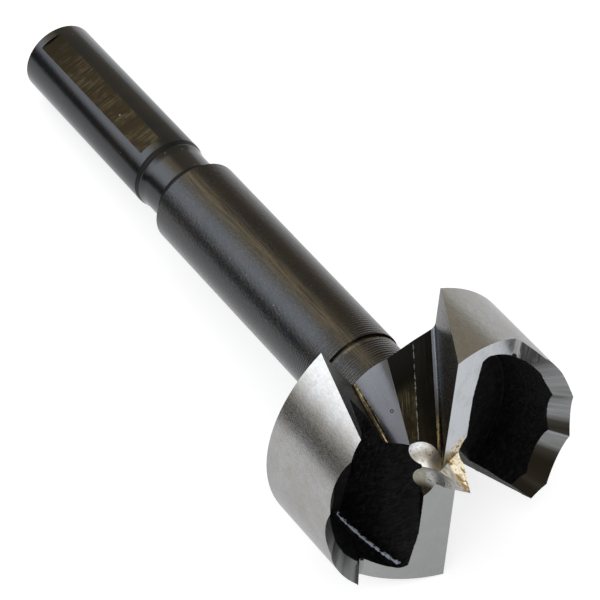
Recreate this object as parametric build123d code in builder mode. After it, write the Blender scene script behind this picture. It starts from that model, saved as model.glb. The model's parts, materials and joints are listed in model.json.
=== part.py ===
from build123d import *
import math
import os

os.makedirs("parts", exist_ok=True)

# Sizes in millimetres and degrees.
# The bit is built upright: Z runs from the tip of the centre point to the shank end.
# X runs outward along the cutting lip of the first wing, Y runs behind that lip.
# The second wing is the first one turned half a turn about Z.

# Turned form
LENGTH = 95.5
SHANK_DIA = 10.0
SHANK_START = 66.95
END_CHAMFER = 0.8
SHOULDER_STEPS = ((4.85, 66.45), (4.7, 65.65))
NECK_DIA = 9.3
NECK_START = 60.75
NECK_END = 65.25
BODY_DIA = 12.0
BODY_CHAMFER = 0.5
GROOVE_DIA = 11.2
GROOVE_WIDTH = 0.5
COLLAR_DIA = 11.6
COLLAR_LENGTH = 6.45
HEAD_DIA = 35.0
HEAD_BACK = 16.7
HEAD_FRONT = 3.3

# Flat on the shank
FLAT_WIDTH = 3.08
FLAT_AZIMUTH = -27.0
FLAT_START = 68.45
FLAT_END = 93.55

# Chip gap between the lip of one wing and the tail of the other
HOOK_ANGLE = 27.0
RAKE_AT_BACK = 5.2
ROOT_AT_BACK = 10.7
ROOT_RUN = 0.74
ROOT_RADIUS = 0.8
FLOOR_AZIMUTH = -108.8
RIDGE_FROM_ROOT = 3.2
RIDGE_HEIGHT = 0.12
PASS_DEPTH = 13.0
TAIL_AZIMUTH = -125.4
TAIL_SLOPE = 15.65
TAIL_OFFSET = 1.39
TAIL_RUN = 0.565
TAIL_RADIUS = 0.4
SEAM_AT_BACK = (-3.735, 7.7)
SEAM_RUN = 0.567

# Ground land behind the lip, gullet and scribing tooth
LAND_AT_AXIS = 4.5
LAND_START = -5.0
RELIEF_ANGLE = 14.7
DISH_ANGLE = 0.4
GULLET_Y = 9.7
GULLET_RADIUS = 1.0
TOOTH_Y = 11.7
TOOTH_Z = 4.1

# Rough pocket behind the land
LAND_WIDTH = 2.6
POCKET_FRONT_Z = 3.65
POCKET_SLOPE = 1.067
POCKET_DRIFT = -0.135
POCKET_BACK = 12.3
POCKET_RADIUS = 15.75
POCKET_RADIUS_Z = 5.5
POCKET_DRAFT = 0.33
POCKET_CORNER = 1.8

# Inward bevel of the rim and the shallow waves ground in it: azimuth, depth, radius
RIM_FRONT = 3.4
RIM_INNER = 15.3
TOOTH_AZIMUTH = 42.9
RIM_END_AZIMUTH = 134.0
WAVES = (
    (46.0, 4.1, 14.0),
    (61.6, 4.0, 9.0),
    (84.8, 4.21, 8.5),
    (108.1, 4.39, 9.5),
    (131.1, 4.44, 9.0),
)

# Four-sided centre point and the hollows ground beside it: centre, radius
POINT_DEPTH = 5.6
POINT_CORNERS = ((0.42, 0.35), (-0.201, 0.396))
HOLLOWS = (((2.5, -3.48, 5.3), 2.55), ((-1.14, -4.65, 3.72), 3.5))

# Working margin of the cutters beyond the metal
MARGIN = 2.0
REACH = 30.0

head_radius = HEAD_DIA / 2
shank_radius = SHANK_DIA / 2
body_radius = BODY_DIA / 2
neck_radius = NECK_DIA / 2
collar_radius = COLLAR_DIA / 2
groove_radius = GROOVE_DIA / 2
collar_end = HEAD_BACK + COLLAR_LENGTH
groove_end = collar_end + GROOVE_WIDTH
body_end = NECK_START - BODY_CHAMFER
hook = math.tan(math.radians(HOOK_ANGLE))


def heading(azimuth, rise=0.0):
    angle = math.radians(azimuth)
    return Vector(math.cos(angle), math.sin(angle), rise)


# Directions that the gap cuts follow, each for one millimetre towards the tip
rake_run = Vector(-ROOT_RUN, -hook, -1.0)
tail_out = heading(TAIL_AZIMUTH)
tail_side = heading(TAIL_AZIMUTH + 90.0)
tail_drift = math.tan(math.radians(TAIL_SLOPE))
tail_run = tail_out * tail_drift - tail_side * TAIL_RUN - Vector(0, 0, 1)

# Corners of the gap in the plane of the head's back
root = Vector(ROOT_AT_BACK, RAKE_AT_BACK, 0)
ridge = root + heading(FLOOR_AZIMUTH) * RIDGE_FROM_ROOT + heading(FLOOR_AZIMUTH + 90.0) * RIDGE_HEIGHT
seam = tail_out * SEAM_AT_BACK[0] + tail_side * SEAM_AT_BACK[1]
floor_radius = seam.length
tail_top = math.sqrt(floor_radius**2 - TAIL_OFFSET**2)

# The seam of the two floors lies in the flat floor
across = seam - ridge
lean = (rake_run.dot(tail_out) - SEAM_RUN) / across.dot(tail_out)
seam_run = rake_run - across * lean


def half_plane(azimuth):
    return Plane(origin=(0, 0, 0), x_dir=heading(azimuth), z_dir=heading(azimuth - 90.0))


def back_plane(run, azimuth, depth):
    origin = Vector(0, 0, HEAD_BACK) + run * depth
    return Plane(origin=origin, x_dir=heading(azimuth), z_dir=(0, 0, 1))


# Turned blank: shank, neck, body, collar and head, with its seam under the flat
with BuildPart() as blank:
    with BuildSketch(half_plane(FLAT_AZIMUTH)):
        with BuildLine():
            Polyline(
                (0, HEAD_FRONT),
                (head_radius, HEAD_FRONT),
                (head_radius, HEAD_BACK),
                (collar_radius, HEAD_BACK),
                (collar_radius, collar_end),
                (groove_radius, collar_end),
                (groove_radius, groove_end),
                (body_radius, groove_end),
                (body_radius, body_end),
                (body_radius - BODY_CHAMFER, NECK_START),
                (neck_radius, NECK_START),
                (neck_radius, NECK_END),
                SHOULDER_STEPS[1],
                SHOULDER_STEPS[0],
                (shank_radius, SHANK_START),
                (shank_radius, LENGTH - END_CHAMFER),
                (shank_radius - END_CHAMFER, LENGTH),
                (0, LENGTH),
                close=True,
            )
        make_face()
    revolve(axis=Axis.Z)

# Gap, first pass: rake face, root radius and the flat floor below it
beyond = seam + across
with BuildPart() as rake_pass:
    with BuildSketch(back_plane(rake_run, 0.0, -MARGIN)):
        with BuildLine():
            Polyline(
                (root.X, root.Y),
                (ridge.X, ridge.Y),
                (beyond.X, beyond.Y),
                (beyond.X + REACH, beyond.Y - REACH),
                (REACH * 2, root.Y),
                close=True,
            )
        make_face()
        fillet(vertices().sort_by_distance((root.X, root.Y))[0], ROOT_RADIUS)
    extrude(amount=(HEAD_BACK + 2 * MARGIN) * rake_run.length, dir=rake_run)
    split(
        bisect_by=Plane(origin=seam + Vector(0, 0, HEAD_BACK), z_dir=seam_run.cross(tail_side)),
        keep=Keep.BOTTOM,
    )

# Gap, second pass: round floor and the tail face of the other wing
with BuildPart() as tail_pass:
    for depth in (-MARGIN, PASS_DEPTH):
        seam_x = SEAM_AT_BACK[0] + seam_run.dot(tail_out) * depth
        seam_y = SEAM_AT_BACK[1] + seam_run.dot(tail_side) * depth
        edge_x = TAIL_OFFSET + tail_drift * depth
        edge_y = tail_top - TAIL_RUN * depth
        with BuildSketch(back_plane(Vector(0, 0, -1), TAIL_AZIMUTH, depth)):
            with BuildLine():
                RadiusArc((seam_x, seam_y), (edge_x, edge_y), floor_radius)
                Polyline(
                    (edge_x, edge_y),
                    (edge_x, REACH),
                    (seam_x - REACH + seam_y, REACH),
                    (seam_x, seam_y),
                )
            make_face()
            fillet(vertices().sort_by_distance((edge_x, edge_y))[0], TAIL_RADIUS)
    loft(ruled=True)

# Front of a wing: ground land, gullet and the flank of the scribing tooth
relief = math.tan(math.radians(RELIEF_ANGLE))
dish = math.tan(math.radians(DISH_ANGLE))
gullet_z = LAND_AT_AXIS + relief * GULLET_Y
flank = (TOOTH_Y - GULLET_Y) / (gullet_z - TOOTH_Z)
with BuildPart() as front_cut:
    with BuildSketch(Plane.YZ):
        with BuildLine():
            Polyline(
                (LAND_START, -MARGIN),
                (LAND_START, LAND_AT_AXIS + relief * LAND_START),
                (GULLET_Y, gullet_z),
                (GULLET_Y + flank * (gullet_z + MARGIN), -MARGIN),
                close=True,
            )
        make_face()
        fillet(vertices().sort_by_distance((GULLET_Y, gullet_z))[0], GULLET_RADIUS)
    extrude(amount=head_radius + MARGIN, dir=(1, 0, -dish))

# Pocket behind the land
pocket_back_radius = POCKET_RADIUS - POCKET_DRAFT * (POCKET_BACK - POCKET_RADIUS_Z)
pocket_front_radius = POCKET_RADIUS + POCKET_DRAFT * (POCKET_RADIUS_Z + MARGIN)
with BuildPart() as pocket:
    with BuildSketch(Plane.XZ):
        with BuildLine():
            Polyline(
                (0, -MARGIN),
                (pocket_front_radius, -MARGIN),
                (pocket_back_radius, POCKET_BACK),
                (0, POCKET_BACK),
                close=True,
            )
        make_face()
    revolve(axis=Axis.Z)
    split(bisect_by=Plane(origin=(0, LAND_WIDTH, 0), z_dir=(0, 1, 0)), keep=Keep.TOP)
    fillet(edges().filter_by_position(Axis.Y, LAND_WIDTH, LAND_WIDTH).sort_by(Axis.X)[-1], POCKET_CORNER)
    split(
        bisect_by=Plane(origin=(0, 0, POCKET_FRONT_Z), z_dir=(-POCKET_DRIFT, -POCKET_SLOPE, 1)),
        keep=Keep.BOTTOM,
    )

# Inward bevel along the rim
with BuildPart() as bevel:
    with BuildSketch(half_plane(TOOTH_AZIMUTH)):
        with BuildLine():
            Polyline(
                (RIM_INNER, 0),
                (head_radius + MARGIN, 0),
                (head_radius + MARGIN, RIM_FRONT - MARGIN),
                (RIM_INNER, RIM_FRONT + head_radius - RIM_INNER),
                close=True,
            )
        make_face()
    revolve(axis=Axis.Z, revolution_arc=RIM_END_AZIMUTH - TOOTH_AZIMUTH)

# Waves ground across the bevel
with BuildPart() as waves:
    for azimuth, depth, radius in WAVES:
        out = heading(azimuth)
        inward = Vector(-out.X, -out.Y, 1).normalized()
        lift = Vector(-out.X, -out.Y, -1).normalized() * radius
        middle = out * head_radius + Vector(0, 0, depth) + lift
        with BuildSketch(Plane(origin=middle - inward * MARGIN, z_dir=inward)):
            Circle(radius)
        extrude(amount=MARGIN * 3)
    with BuildSketch(half_plane(TOOTH_AZIMUTH)):
        with Locations((RIM_INNER, 0)):
            Rectangle(head_radius + MARGIN - RIM_INNER, HEAD_BACK / 2, align=(Align.MIN, Align.MIN))
    revolve(axis=Axis.Z, revolution_arc=RIM_END_AZIMUTH - TOOTH_AZIMUTH, mode=Mode.INTERSECT)

# Flat on the shank
flat_depth = math.sqrt(shank_radius**2 - (FLAT_WIDTH / 2) ** 2)
flat_plane = Plane(origin=(0, 0, FLAT_START), x_dir=heading(FLAT_AZIMUTH), z_dir=(0, 0, 1))
with BuildPart() as flat:
    with BuildSketch(flat_plane):
        with Locations((flat_depth, 0)):
            Rectangle(MARGIN, SHANK_DIA, align=(Align.MIN, Align.CENTER))
    extrude(amount=FLAT_END - FLAT_START)

# Centre point
with BuildPart() as point:
    with BuildSketch(Plane.XY.offset(POINT_DEPTH)) as point_base:
        with BuildLine():
            Polyline(
                (POINT_CORNERS[0][0] * POINT_DEPTH, POINT_CORNERS[0][1] * POINT_DEPTH),
                (POINT_CORNERS[1][0] * POINT_DEPTH, POINT_CORNERS[1][1] * POINT_DEPTH),
                (-POINT_CORNERS[0][0] * POINT_DEPTH, -POINT_CORNERS[0][1] * POINT_DEPTH),
                (-POINT_CORNERS[1][0] * POINT_DEPTH, -POINT_CORNERS[1][1] * POINT_DEPTH),
                close=True,
            )
        make_face()
    loft([point_base.sketch.faces()[0], Vertex(0, 0, 0)])

# Hollows beside the centre point
with BuildPart() as hollows:
    for middle, radius in HOLLOWS:
        with Locations(middle):
            Sphere(radius)

# The whole bit, upright
with BuildPart() as upright:
    add(blank.part)
    with PolarLocations(0, 2):
        add(rake_pass.part, mode=Mode.SUBTRACT)
        add(tail_pass.part, mode=Mode.SUBTRACT)
        add(front_cut.part, mode=Mode.SUBTRACT)
        add(pocket.part, mode=Mode.SUBTRACT)
        add(bevel.part, mode=Mode.SUBTRACT)
        add(waves.part, mode=Mode.SUBTRACT)
    add(point.part)
    with PolarLocations(0, 2):
        add(hollows.part, mode=Mode.SUBTRACT)
    add(flat.part, mode=Mode.SUBTRACT)

# The bit lies on the corner of one tail, the corner of the other lip and the shank end
tail_corner = TAIL_AZIMUTH + 180.0 + math.degrees(math.acos(TAIL_OFFSET / head_radius))
corner_z = LAND_AT_AXIS
for _ in range(20):
    corner_y = RAKE_AT_BACK - hook * (HEAD_BACK - corner_z)
    corner_x = math.sqrt(head_radius**2 - corner_y**2)
    corner_z = LAND_AT_AXIS + relief * corner_y - dish * corner_x
lip_corner = 180.0 + math.degrees(math.atan2(corner_y, corner_x))


def tilt_on(azimuth, corner, corner_height):
    drop = head_radius * math.cos(math.radians(azimuth - corner)) - shank_radius
    return drop / (LENGTH - END_CHAMFER - corner_height)


low = tail_corner
high = lip_corner
for _ in range(60):
    down_azimuth = (low + high) / 2
    if tilt_on(down_azimuth, tail_corner, HEAD_BACK) > tilt_on(down_azimuth, lip_corner, corner_z):
        low = down_azimuth
    else:
        high = down_azimuth
down = heading(down_azimuth, tilt_on(down_azimuth, tail_corner, HEAD_BACK)).normalized()
forward = (down * down.Z - Vector(0, 0, 1)).normalized()
laid = Plane(origin=(0, 0, 0), x_dir=forward, z_dir=-down).to_local_coords(upright.part)
box = laid.bounding_box()
with BuildPart() as boring_bit:
    with Locations((-box.center().X, -box.center().Y, -box.min.Z)):
        add(laid)
boring_bit.part.label = "boring_bit"
export_step(boring_bit.part, "parts/boring_bit.step")
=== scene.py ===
import json
import math

import bmesh
import bpy
import numpy as np
from mathutils import Matrix, Vector, noise


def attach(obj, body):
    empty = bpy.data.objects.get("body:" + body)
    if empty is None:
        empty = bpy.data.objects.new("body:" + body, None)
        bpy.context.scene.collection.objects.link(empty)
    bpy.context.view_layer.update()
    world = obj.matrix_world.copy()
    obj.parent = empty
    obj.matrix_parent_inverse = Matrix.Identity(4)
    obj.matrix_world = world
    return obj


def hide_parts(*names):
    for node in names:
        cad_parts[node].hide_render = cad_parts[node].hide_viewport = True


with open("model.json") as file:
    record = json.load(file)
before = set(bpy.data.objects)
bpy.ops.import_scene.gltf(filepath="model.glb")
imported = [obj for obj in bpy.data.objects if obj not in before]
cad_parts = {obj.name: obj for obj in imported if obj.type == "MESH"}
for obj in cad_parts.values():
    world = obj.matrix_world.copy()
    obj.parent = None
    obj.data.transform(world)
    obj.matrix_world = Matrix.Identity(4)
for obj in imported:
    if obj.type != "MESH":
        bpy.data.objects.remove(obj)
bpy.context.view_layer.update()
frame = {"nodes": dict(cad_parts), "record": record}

# Sizes of the bit in millimetres and degrees, in its own upright frame:
# Z runs from the tip of the centre point to the shank end, X outward along one cutting lip.
MM = 0.001
LENGTH = 95.5
DOWN_AZIMUTH = 167.14
SHANK_RADIUS = 5.0
FLAT_AZIMUTH = -27.0
FLAT_START = 68.45
FLAT_END = 93.55
BODY_RADIUS = 6.0
COLLAR_END = 23.15
HEAD_RADIUS = 17.5
HEAD_BACK = 16.7
HOOK_ANGLE = 27.0
ROOT = (10.7, 5.2)
ROOT_RUN = 0.74
FLOOR_AZIMUTH = -108.8
RIDGE_FROM_ROOT = 3.2
RIDGE_HEIGHT = 0.12
TAIL_AZIMUTH = -125.4
TAIL_SLOPE = 15.65
TAIL_OFFSET = 1.39
TAIL_RUN = 0.565
SEAM = (-3.735, 7.7)
LAND_AT_AXIS = 4.5
RELIEF_ANGLE = 14.7
DISH_ANGLE = 0.4
GULLET_Y = 9.7
TOOTH_Y = 11.7
TOOTH_Z = 4.1
LAND_WIDTH = 2.6
POCKET_FRONT_Z = 3.65
POCKET_SLOPE = 1.067
POCKET_DRIFT = -0.135
POCKET_RADIUS = 15.75
POCKET_RADIUS_Z = 5.5
POCKET_DRAFT = 0.33
TOOTH_AZIMUTH = 42.9
RIM_END_AZIMUTH = 134.0
HOLLOWS = (((2.5, -3.48, 5.3), 2.55), ((-1.14, -4.65, 3.72), 3.5))

# How near to a surface the middle of a face has to be to belong to it, in millimetres, and how
# much alike their normals, as the cosine of the angle between them
PLANE_GAP = 0.03
FINE_GAP = 0.01
ROUND_GAP = 0.08
SHELL_GAP = 0.1
ALIKE = 0.99
PARALLEL = 0.999
FLAT_PARALLEL = 0.9995
FINE_PARALLEL = 0.99995

# Zones of the head in which each kind of face lies, as the first wing sees them
STEM_FROM = HEAD_BACK + 0.02
BACK_FROM = HEAD_BACK - 0.05
WING_TO = HEAD_BACK + 0.01
LAND_FROM = (-2.0, -9.0)
TOOTH_ZONE = (10.0, 50.0)
TOOTH_ZONE_RADIUS = 10.0
TOOTH_ZONE_Z = 8.0
GULLET_FROM_Y = GULLET_Y - 1.5
BEVEL_ZONE = (TOOTH_AZIMUTH - 6.0, RIM_END_AZIMUTH + 6.0)
BEVEL_ZONE_RADIUS = 13.0
WALL_FROM_Y = LAND_WIDTH - 0.1
POCKET_FROM_Y = LAND_WIDTH - 0.3
OVER_FLOOR = 0.15
OVER_OTHER_FLOOR = 0.1
ROOT_REACH = 1.3
ROOT_FROM_X = -1.0
CORNER_REACH = 0.7
POINT_RADIUS = 3.4
POINT_END = 5.7

# Mesh: metres between points that become one, degrees of a sharp edge, rounds of halving
MERGE_DISTANCE = 1e-7
SHARP_ANGLE = 25.0
HALVING_ROUNDS = 14

# Rough forged pocket: longest edge of its mesh, then heights and scales of its roughness
POCKET_EDGE = 0.28
POCKET_LUMPS = 0.10
LUMP_SCALE = 0.45
POCKET_GRAIN = 0.045
GRAIN_STRETCH = (0.9, 0.9, 3.2)
GRAIN_SCALE = 1.1
FINE_GRAIN_SHARE = 0.6
FINE_GRAIN_SCALE = 3.4
BORDER_NICK = 0.08
NICK_SCALE = 3.0
FINE_NICK_SHARE = 0.8
FINE_NICK_SCALE = 7.0

# Places and sizes of marks on the surface in millimetres and degrees. A pair says where
# a mark begins and where it is full.
TURNING_PITCH = 0.40
LINES_FADE = (31.0, 22.0)
TOOLED_FADE = (27.0, 22.5)
BODY_FADE = (61.5, 60.0)
# The gold ring at the collar's lip is a painted highlight
LIP_Z = COLLAR_END - 0.2
LIP_FADE = (0.28, 0.1)
RUST_AZIMUTH = 5.0
RUST_Z = 28.9
RUST_SIZE = 4.5
# A gold streak along the body at this azimuth is a painted highlight of a warm lamp
GOLD_HIGHLIGHT_AZIMUTH = -17.0
GOLD_HIGHLIGHT_FADE = (14.0, 1.0)
BROWN_START = (-14.0, 6.0)
BROWN_STOP = (100.0, 70.0)
RING_Z = 66.75
RING_FADE = (0.45, 0.2)
SHOULDER_Z = 61.6
SHOULDER_FADE = (0.4, 0.15)
FLAT_BORDER_FADE = (2.1, 2.9)
FLAT_END_FADE = (86.0, 93.0)
STAIN_PLACE = (2.2, 1.2, 4.7)
STAIN_SIZE = 2.6
STREAK_FADE = 0.8
PIT_PLACE = (4.95, -3.62, 11.85)
PIT_RADIUS = 0.17
PIT_FADE = (0.08, 0.03)
RIDGE_FADE = (0.10, 0.04)
CREASE_FADE = (0.42, 0.24)
GOLD_FADE = (-0.5, -0.15)
TIP_FADE = (1.1, 0.3)

# The photo's camera in metres and degrees
CAMERA_PLACE = (0.22528, -0.12956, 0.35969)
CAMERA_TURN = (35.938, 1.850, 56.198)
CAMERA_LENS = 209.05
SENSOR = 36.0


def tangent(angle):
    return math.tan(math.radians(angle))


def heading(azimuth):
    angle = math.radians(azimuth)
    return Vector((math.cos(angle), math.sin(angle), 0.0))


def unit(vector):
    return np.array(Vector(vector).normalized(), float)


# The upright frame as it lies in the row frame
mounts = {mount["name"]: mount for mount in frame["record"]["mounts"]}
axis = Vector(mounts["shank_end"]["axis"]).normalized()
tip = Vector(mounts["shank_end"]["pos_m"]) - axis * LENGTH * MM
down = (axis * axis.z - Vector((0, 0, 1))).normalized()
level = axis.cross(down)
lean = math.radians(DOWN_AZIMUTH)
lip_way = down * math.cos(lean) - level * math.sin(lean)
back_way = down * math.sin(lean) + level * math.cos(lean)
upright = np.array([lip_way, back_way, axis], float)


def to_upright(points):
    """Points of the row frame in millimetres of the upright frame."""
    return (points - np.array(tip, float)) @ upright.T / MM


# Faces and lines of the head, as the first wing sees them
hook = tangent(HOOK_ANGLE)
relief = tangent(RELIEF_ANGLE)
dish = tangent(DISH_ANGLE)
rake_run = Vector((-ROOT_RUN, -hook, -1.0))
root = Vector((ROOT[0], ROOT[1], HEAD_BACK))
ridge = root + heading(FLOOR_AZIMUTH) * RIDGE_FROM_ROOT + heading(FLOOR_AZIMUTH + 90.0) * RIDGE_HEIGHT
tail_out = heading(TAIL_AZIMUTH)
tail_side = heading(TAIL_AZIMUTH + 90.0)
tail_drift = tangent(TAIL_SLOPE)
tail_run = tail_out * tail_drift - tail_side * TAIL_RUN - Vector((0, 0, 1))
seam = tail_out * SEAM[0] + tail_side * SEAM[1] + Vector((0, 0, HEAD_BACK))
floor_radius = math.hypot(*SEAM)
tail_top = math.sqrt(floor_radius**2 - TAIL_OFFSET**2)
tail_corner = tail_out * TAIL_OFFSET + tail_side * tail_top + Vector((0, 0, HEAD_BACK))
land_normal = Vector((-dish, relief, -1.0))
rake_normal = Vector((0.0, -1.0, hook))
near_normal = (ridge - root).cross(rake_run)
far_normal = (seam - ridge).cross(rake_run)
tail_normal = -(tail_out + Vector((0, 0, tail_drift)))
flank_run = (TOOTH_Y - GULLET_Y) / (LAND_AT_AXIS + relief * GULLET_Y - TOOTH_Z)
flank_normal = Vector((0.0, -1.0, -flank_run))
floor_normal = Vector((POCKET_DRIFT, POCKET_SLOPE, -1.0))

REGIONS = (
    "stem", "flat", "rim", "head_back", "land", "gullet", "flank", "bevel", "pocket",
    "rake", "root", "near_floor", "far_floor", "round_floor", "corner", "tail",
    "point", "hollow_high", "hollow_low",
)
SMOOTH = (
    "stem", "rim", "gullet", "bevel", "pocket", "root", "round_floor", "corner",
    "hollow_high", "hollow_low",
)
INDEX = {name: k for k, name in enumerate(REGIONS)}


def line_distance(points, start, way):
    way = unit(way)
    offset = points - np.array(start, float)
    return np.linalg.norm(offset - np.outer(offset @ way, way), axis=1)


def between(values, ends):
    return (values > ends[0]) & (values < ends[1])


def wing_regions(points, normals):
    """Region of each face seen from one wing's own frame, or -1."""
    found = np.full(len(points), -1)
    x, y, z = points.T
    radius = np.hypot(x, y)
    azimuth = np.degrees(np.arctan2(y, x))
    nonzero_radius = np.maximum(radius, 1e-6)
    outward = (normals[:, 0] * x + normals[:, 1] * y) / nonzero_radius
    facing_out = outward > 0.95
    facing_in = outward < -0.9
    leaning_in = (outward < -0.3) & (normals[:, 2] < -0.5)
    not_inward = outward > -0.6
    from_root = line_distance(points, root, rake_run)

    def mark(name, test):
        found[(found < 0) & (z < WING_TO) & test] = INDEX[name]

    def on_plane(origin, normal, gap=PLANE_GAP, alike=PARALLEL):
        way = unit(normal)
        away = np.abs((points - np.array(origin, float)) @ way)
        return (away < gap) & (np.abs(normals @ way) > alike)

    mark("rim", (radius > HEAD_RADIUS - SHELL_GAP) & facing_out)
    land_area = (x > LAND_FROM[0]) & (y > LAND_FROM[1])
    mark("land", on_plane((0, 0, LAND_AT_AXIS), land_normal) & land_area)
    at_tooth = between(azimuth, TOOTH_ZONE) & (radius > TOOTH_ZONE_RADIUS) & (z < TOOTH_ZONE_Z)
    mark("flank", at_tooth & (normals @ unit(flank_normal) > ALIKE))
    gullet_area = (y > GULLET_FROM_Y) & (radius > POCKET_RADIUS - SHELL_GAP)
    mark("gullet", at_tooth & gullet_area & not_inward)
    mark("bevel", between(azimuth, BEVEL_ZONE) & (radius > BEVEL_ZONE_RADIUS) & leaning_in)

    # The pocket's wall, its floor and its step down from the land
    wall = np.abs(radius - POCKET_RADIUS + POCKET_DRAFT * (z - POCKET_RADIUS_Z)) < ROUND_GAP
    mark("pocket", wall & facing_in & (y > WALL_FROM_Y))
    mark("pocket", on_plane((0, 0, POCKET_FRONT_Z), floor_normal))
    mark("pocket", (np.abs(y - LAND_WIDTH) < PLANE_GAP) & (normals[:, 1] > ALIKE))

    # The chip gap, then the rounded corners of the pocket
    over_other = z > POCKET_FRONT_Z - POCKET_SLOPE * y - POCKET_DRIFT * x + OVER_OTHER_FLOOR
    mark("rake", on_plane(root, rake_normal) & (x > 0.0))
    mark("near_floor", on_plane(root, near_normal) & (from_root < RIDGE_FROM_ROOT))
    mark("far_floor", on_plane(ridge, far_normal, FINE_GAP, FINE_PARALLEL))
    mark("root", (from_root < ROOT_REACH) & (x > ROOT_FROM_X))
    mark("tail", on_plane(tail_corner, tail_normal))
    mark("corner", (line_distance(points, tail_corner, tail_run) < CORNER_REACH) & over_other)
    under_floor = z < POCKET_FRONT_Z + POCKET_SLOPE * y + POCKET_DRIFT * x + OVER_FLOOR
    mark("pocket", (y > POCKET_FROM_Y) & under_floor)
    return found


def regions_of(points, normals):
    """Region number and wing of each face from its centre and normal in the upright frame."""
    found = np.full(len(points), -1)
    wing = np.ones(len(points))
    x, y, z = points.T
    stem = z > STEM_FROM
    found[stem] = INDEX["stem"]
    flat_way = unit(heading(FLAT_AZIMUTH))
    flat = between(z, (FLAT_START, FLAT_END)) & (normals @ flat_way > FLAT_PARALLEL)
    found[stem & flat & (points @ flat_way < SHANK_RADIUS - SHELL_GAP)] = INDEX["flat"]
    found[(found < 0) & (normals[:, 2] > ALIKE) & (z > BACK_FROM)] = INDEX["head_back"]
    through_tip = np.abs((points * normals).sum(1)) < PLANE_GAP
    cone = through_tip & (z < POINT_END) & (np.hypot(x, y) < POINT_RADIUS)
    found[(found < 0) & cone] = INDEX["point"]
    for name, (middle, size) in zip(("hollow_high", "hollow_low"), HOLLOWS):
        for sign in (1, -1):
            centre = np.array((sign * middle[0], sign * middle[1], middle[2]))
            away = np.linalg.norm(points - centre, axis=1)
            facing_centre = ((centre - points) * normals).sum(1) / away > 0.95
            hit = (found < 0) & (np.abs(away - size) < ROUND_GAP) & facing_centre
            found[hit] = INDEX[name]
            wing[hit] = sign
    for sign in (1, -1):
        turn = np.array((sign, sign, 1.0))
        marks = wing_regions(points * turn, normals * turn)
        hit = (found < 0) & (marks >= 0)
        found[hit] = marks[hit]
        wing[hit] = sign
    rest = found < 0
    found[rest] = INDEX["round_floor"]
    side = points @ (unit(tail_side) - unit(tail_out))
    wing[rest] = np.where(side[rest] > 0, 1, -1)
    return found, wing


def mark_faces(bm):
    """Gives each face its region as material index, its wing, and its kind of shading."""
    points = to_upright(np.array([face.calc_center_median() for face in bm.faces], float))
    normals = np.array([face.normal for face in bm.faces], float) @ upright.T
    regions, wings = regions_of(points, normals)
    wing_layer = bm.faces.layers.int.new("wing_side")
    smooth = {INDEX[name] for name in SMOOTH}
    for face, region, wing in zip(bm.faces, regions, wings):
        face.material_index = int(region)
        face.smooth = int(region) in smooth
        face[wing_layer] = int(wing)


def mark_sharp_edges(bm):
    """An edge is sharp between two regions, and where the surface bends outside the pockets."""
    for edge in bm.edges:
        sides = {face.material_index for face in edge.link_faces}
        bent = edge.calc_face_angle(0.0) > math.radians(SHARP_ANGLE)
        edge.smooth = len(sides) == 1 and (not bent or sides == {INDEX["pocket"]})


def halve_long_edges(bm, region, longest):
    """Splits each long triangle of a region at its longest edge until none is left."""
    for _ in range(HALVING_ROUNDS):
        chosen = set()
        for face in bm.faces:
            if face.material_index != region:
                continue
            edge = max(face.edges, key=lambda e: e.calc_length())
            if edge.calc_length() > longest * MM:
                chosen.add(edge)
        if not chosen:
            break
        bmesh.ops.subdivide_edges(bm, edges=list(chosen), cuts=1)
        many = [face for face in bm.faces if len(face.verts) > 3]
        bmesh.ops.triangulate(bm, faces=many, quad_method="SHORT_EDGE", ngon_method="BEAUTY")


def skin_rise(place, wing):
    """Height of the forged skin in millimetres: soft lumps, and a grain that is finer along Z."""
    own_lumps = Vector((wing * 9.0, 4.0, 0.0))
    lump = noise.noise(place * LUMP_SCALE + own_lumps)
    stretched = Vector([part * stretch for part, stretch in zip(place, GRAIN_STRETCH)])
    fine = noise.noise(place * FINE_GRAIN_SCALE)
    grain = noise.noise(stretched * GRAIN_SCALE) + FINE_GRAIN_SHARE * fine
    return POCKET_LUMPS * lump + POCKET_GRAIN * grain


def border_nick(place, wing):
    """How far a pocket's border is out of line at a place, in millimetres, either way."""
    own_nicks = Vector((3.0, wing, 5.0))
    fine = noise.noise(place * FINE_NICK_SCALE + own_nicks)
    return BORDER_NICK * (noise.noise(place * NICK_SCALE) + FINE_NICK_SHARE * fine)


def roughen_pockets(bm):
    """Gives the forged pockets their lumps and grain, and nicks their borders."""
    pocket = INDEX["pocket"]
    bm.normal_update()
    moves = []
    for vert in bm.verts:
        kinds = {face.material_index for face in vert.link_faces}
        if pocket not in kinds:
            continue
        place = Vector(to_upright(np.array(vert.co, float)))
        wing = 1.0 if place.y > 0.0 else -1.0
        if kinds == {pocket}:
            moves.append((vert, vert.normal * skin_rise(place, wing) * MM))
            continue
        if kinds == {pocket, INDEX["land"]}:
            way = Vector((0.0, wing, relief)).normalized()
        elif kinds == {pocket, INDEX["bevel"]}:
            way = Vector((-place.x, -place.y, math.hypot(place.x, place.y))).normalized()
        else:
            continue
        moves.append((vert, Vector(np.array(way, float) @ upright) * border_nick(place, wing) * MM))
    for vert, move in moves:
        vert.co += move


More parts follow.
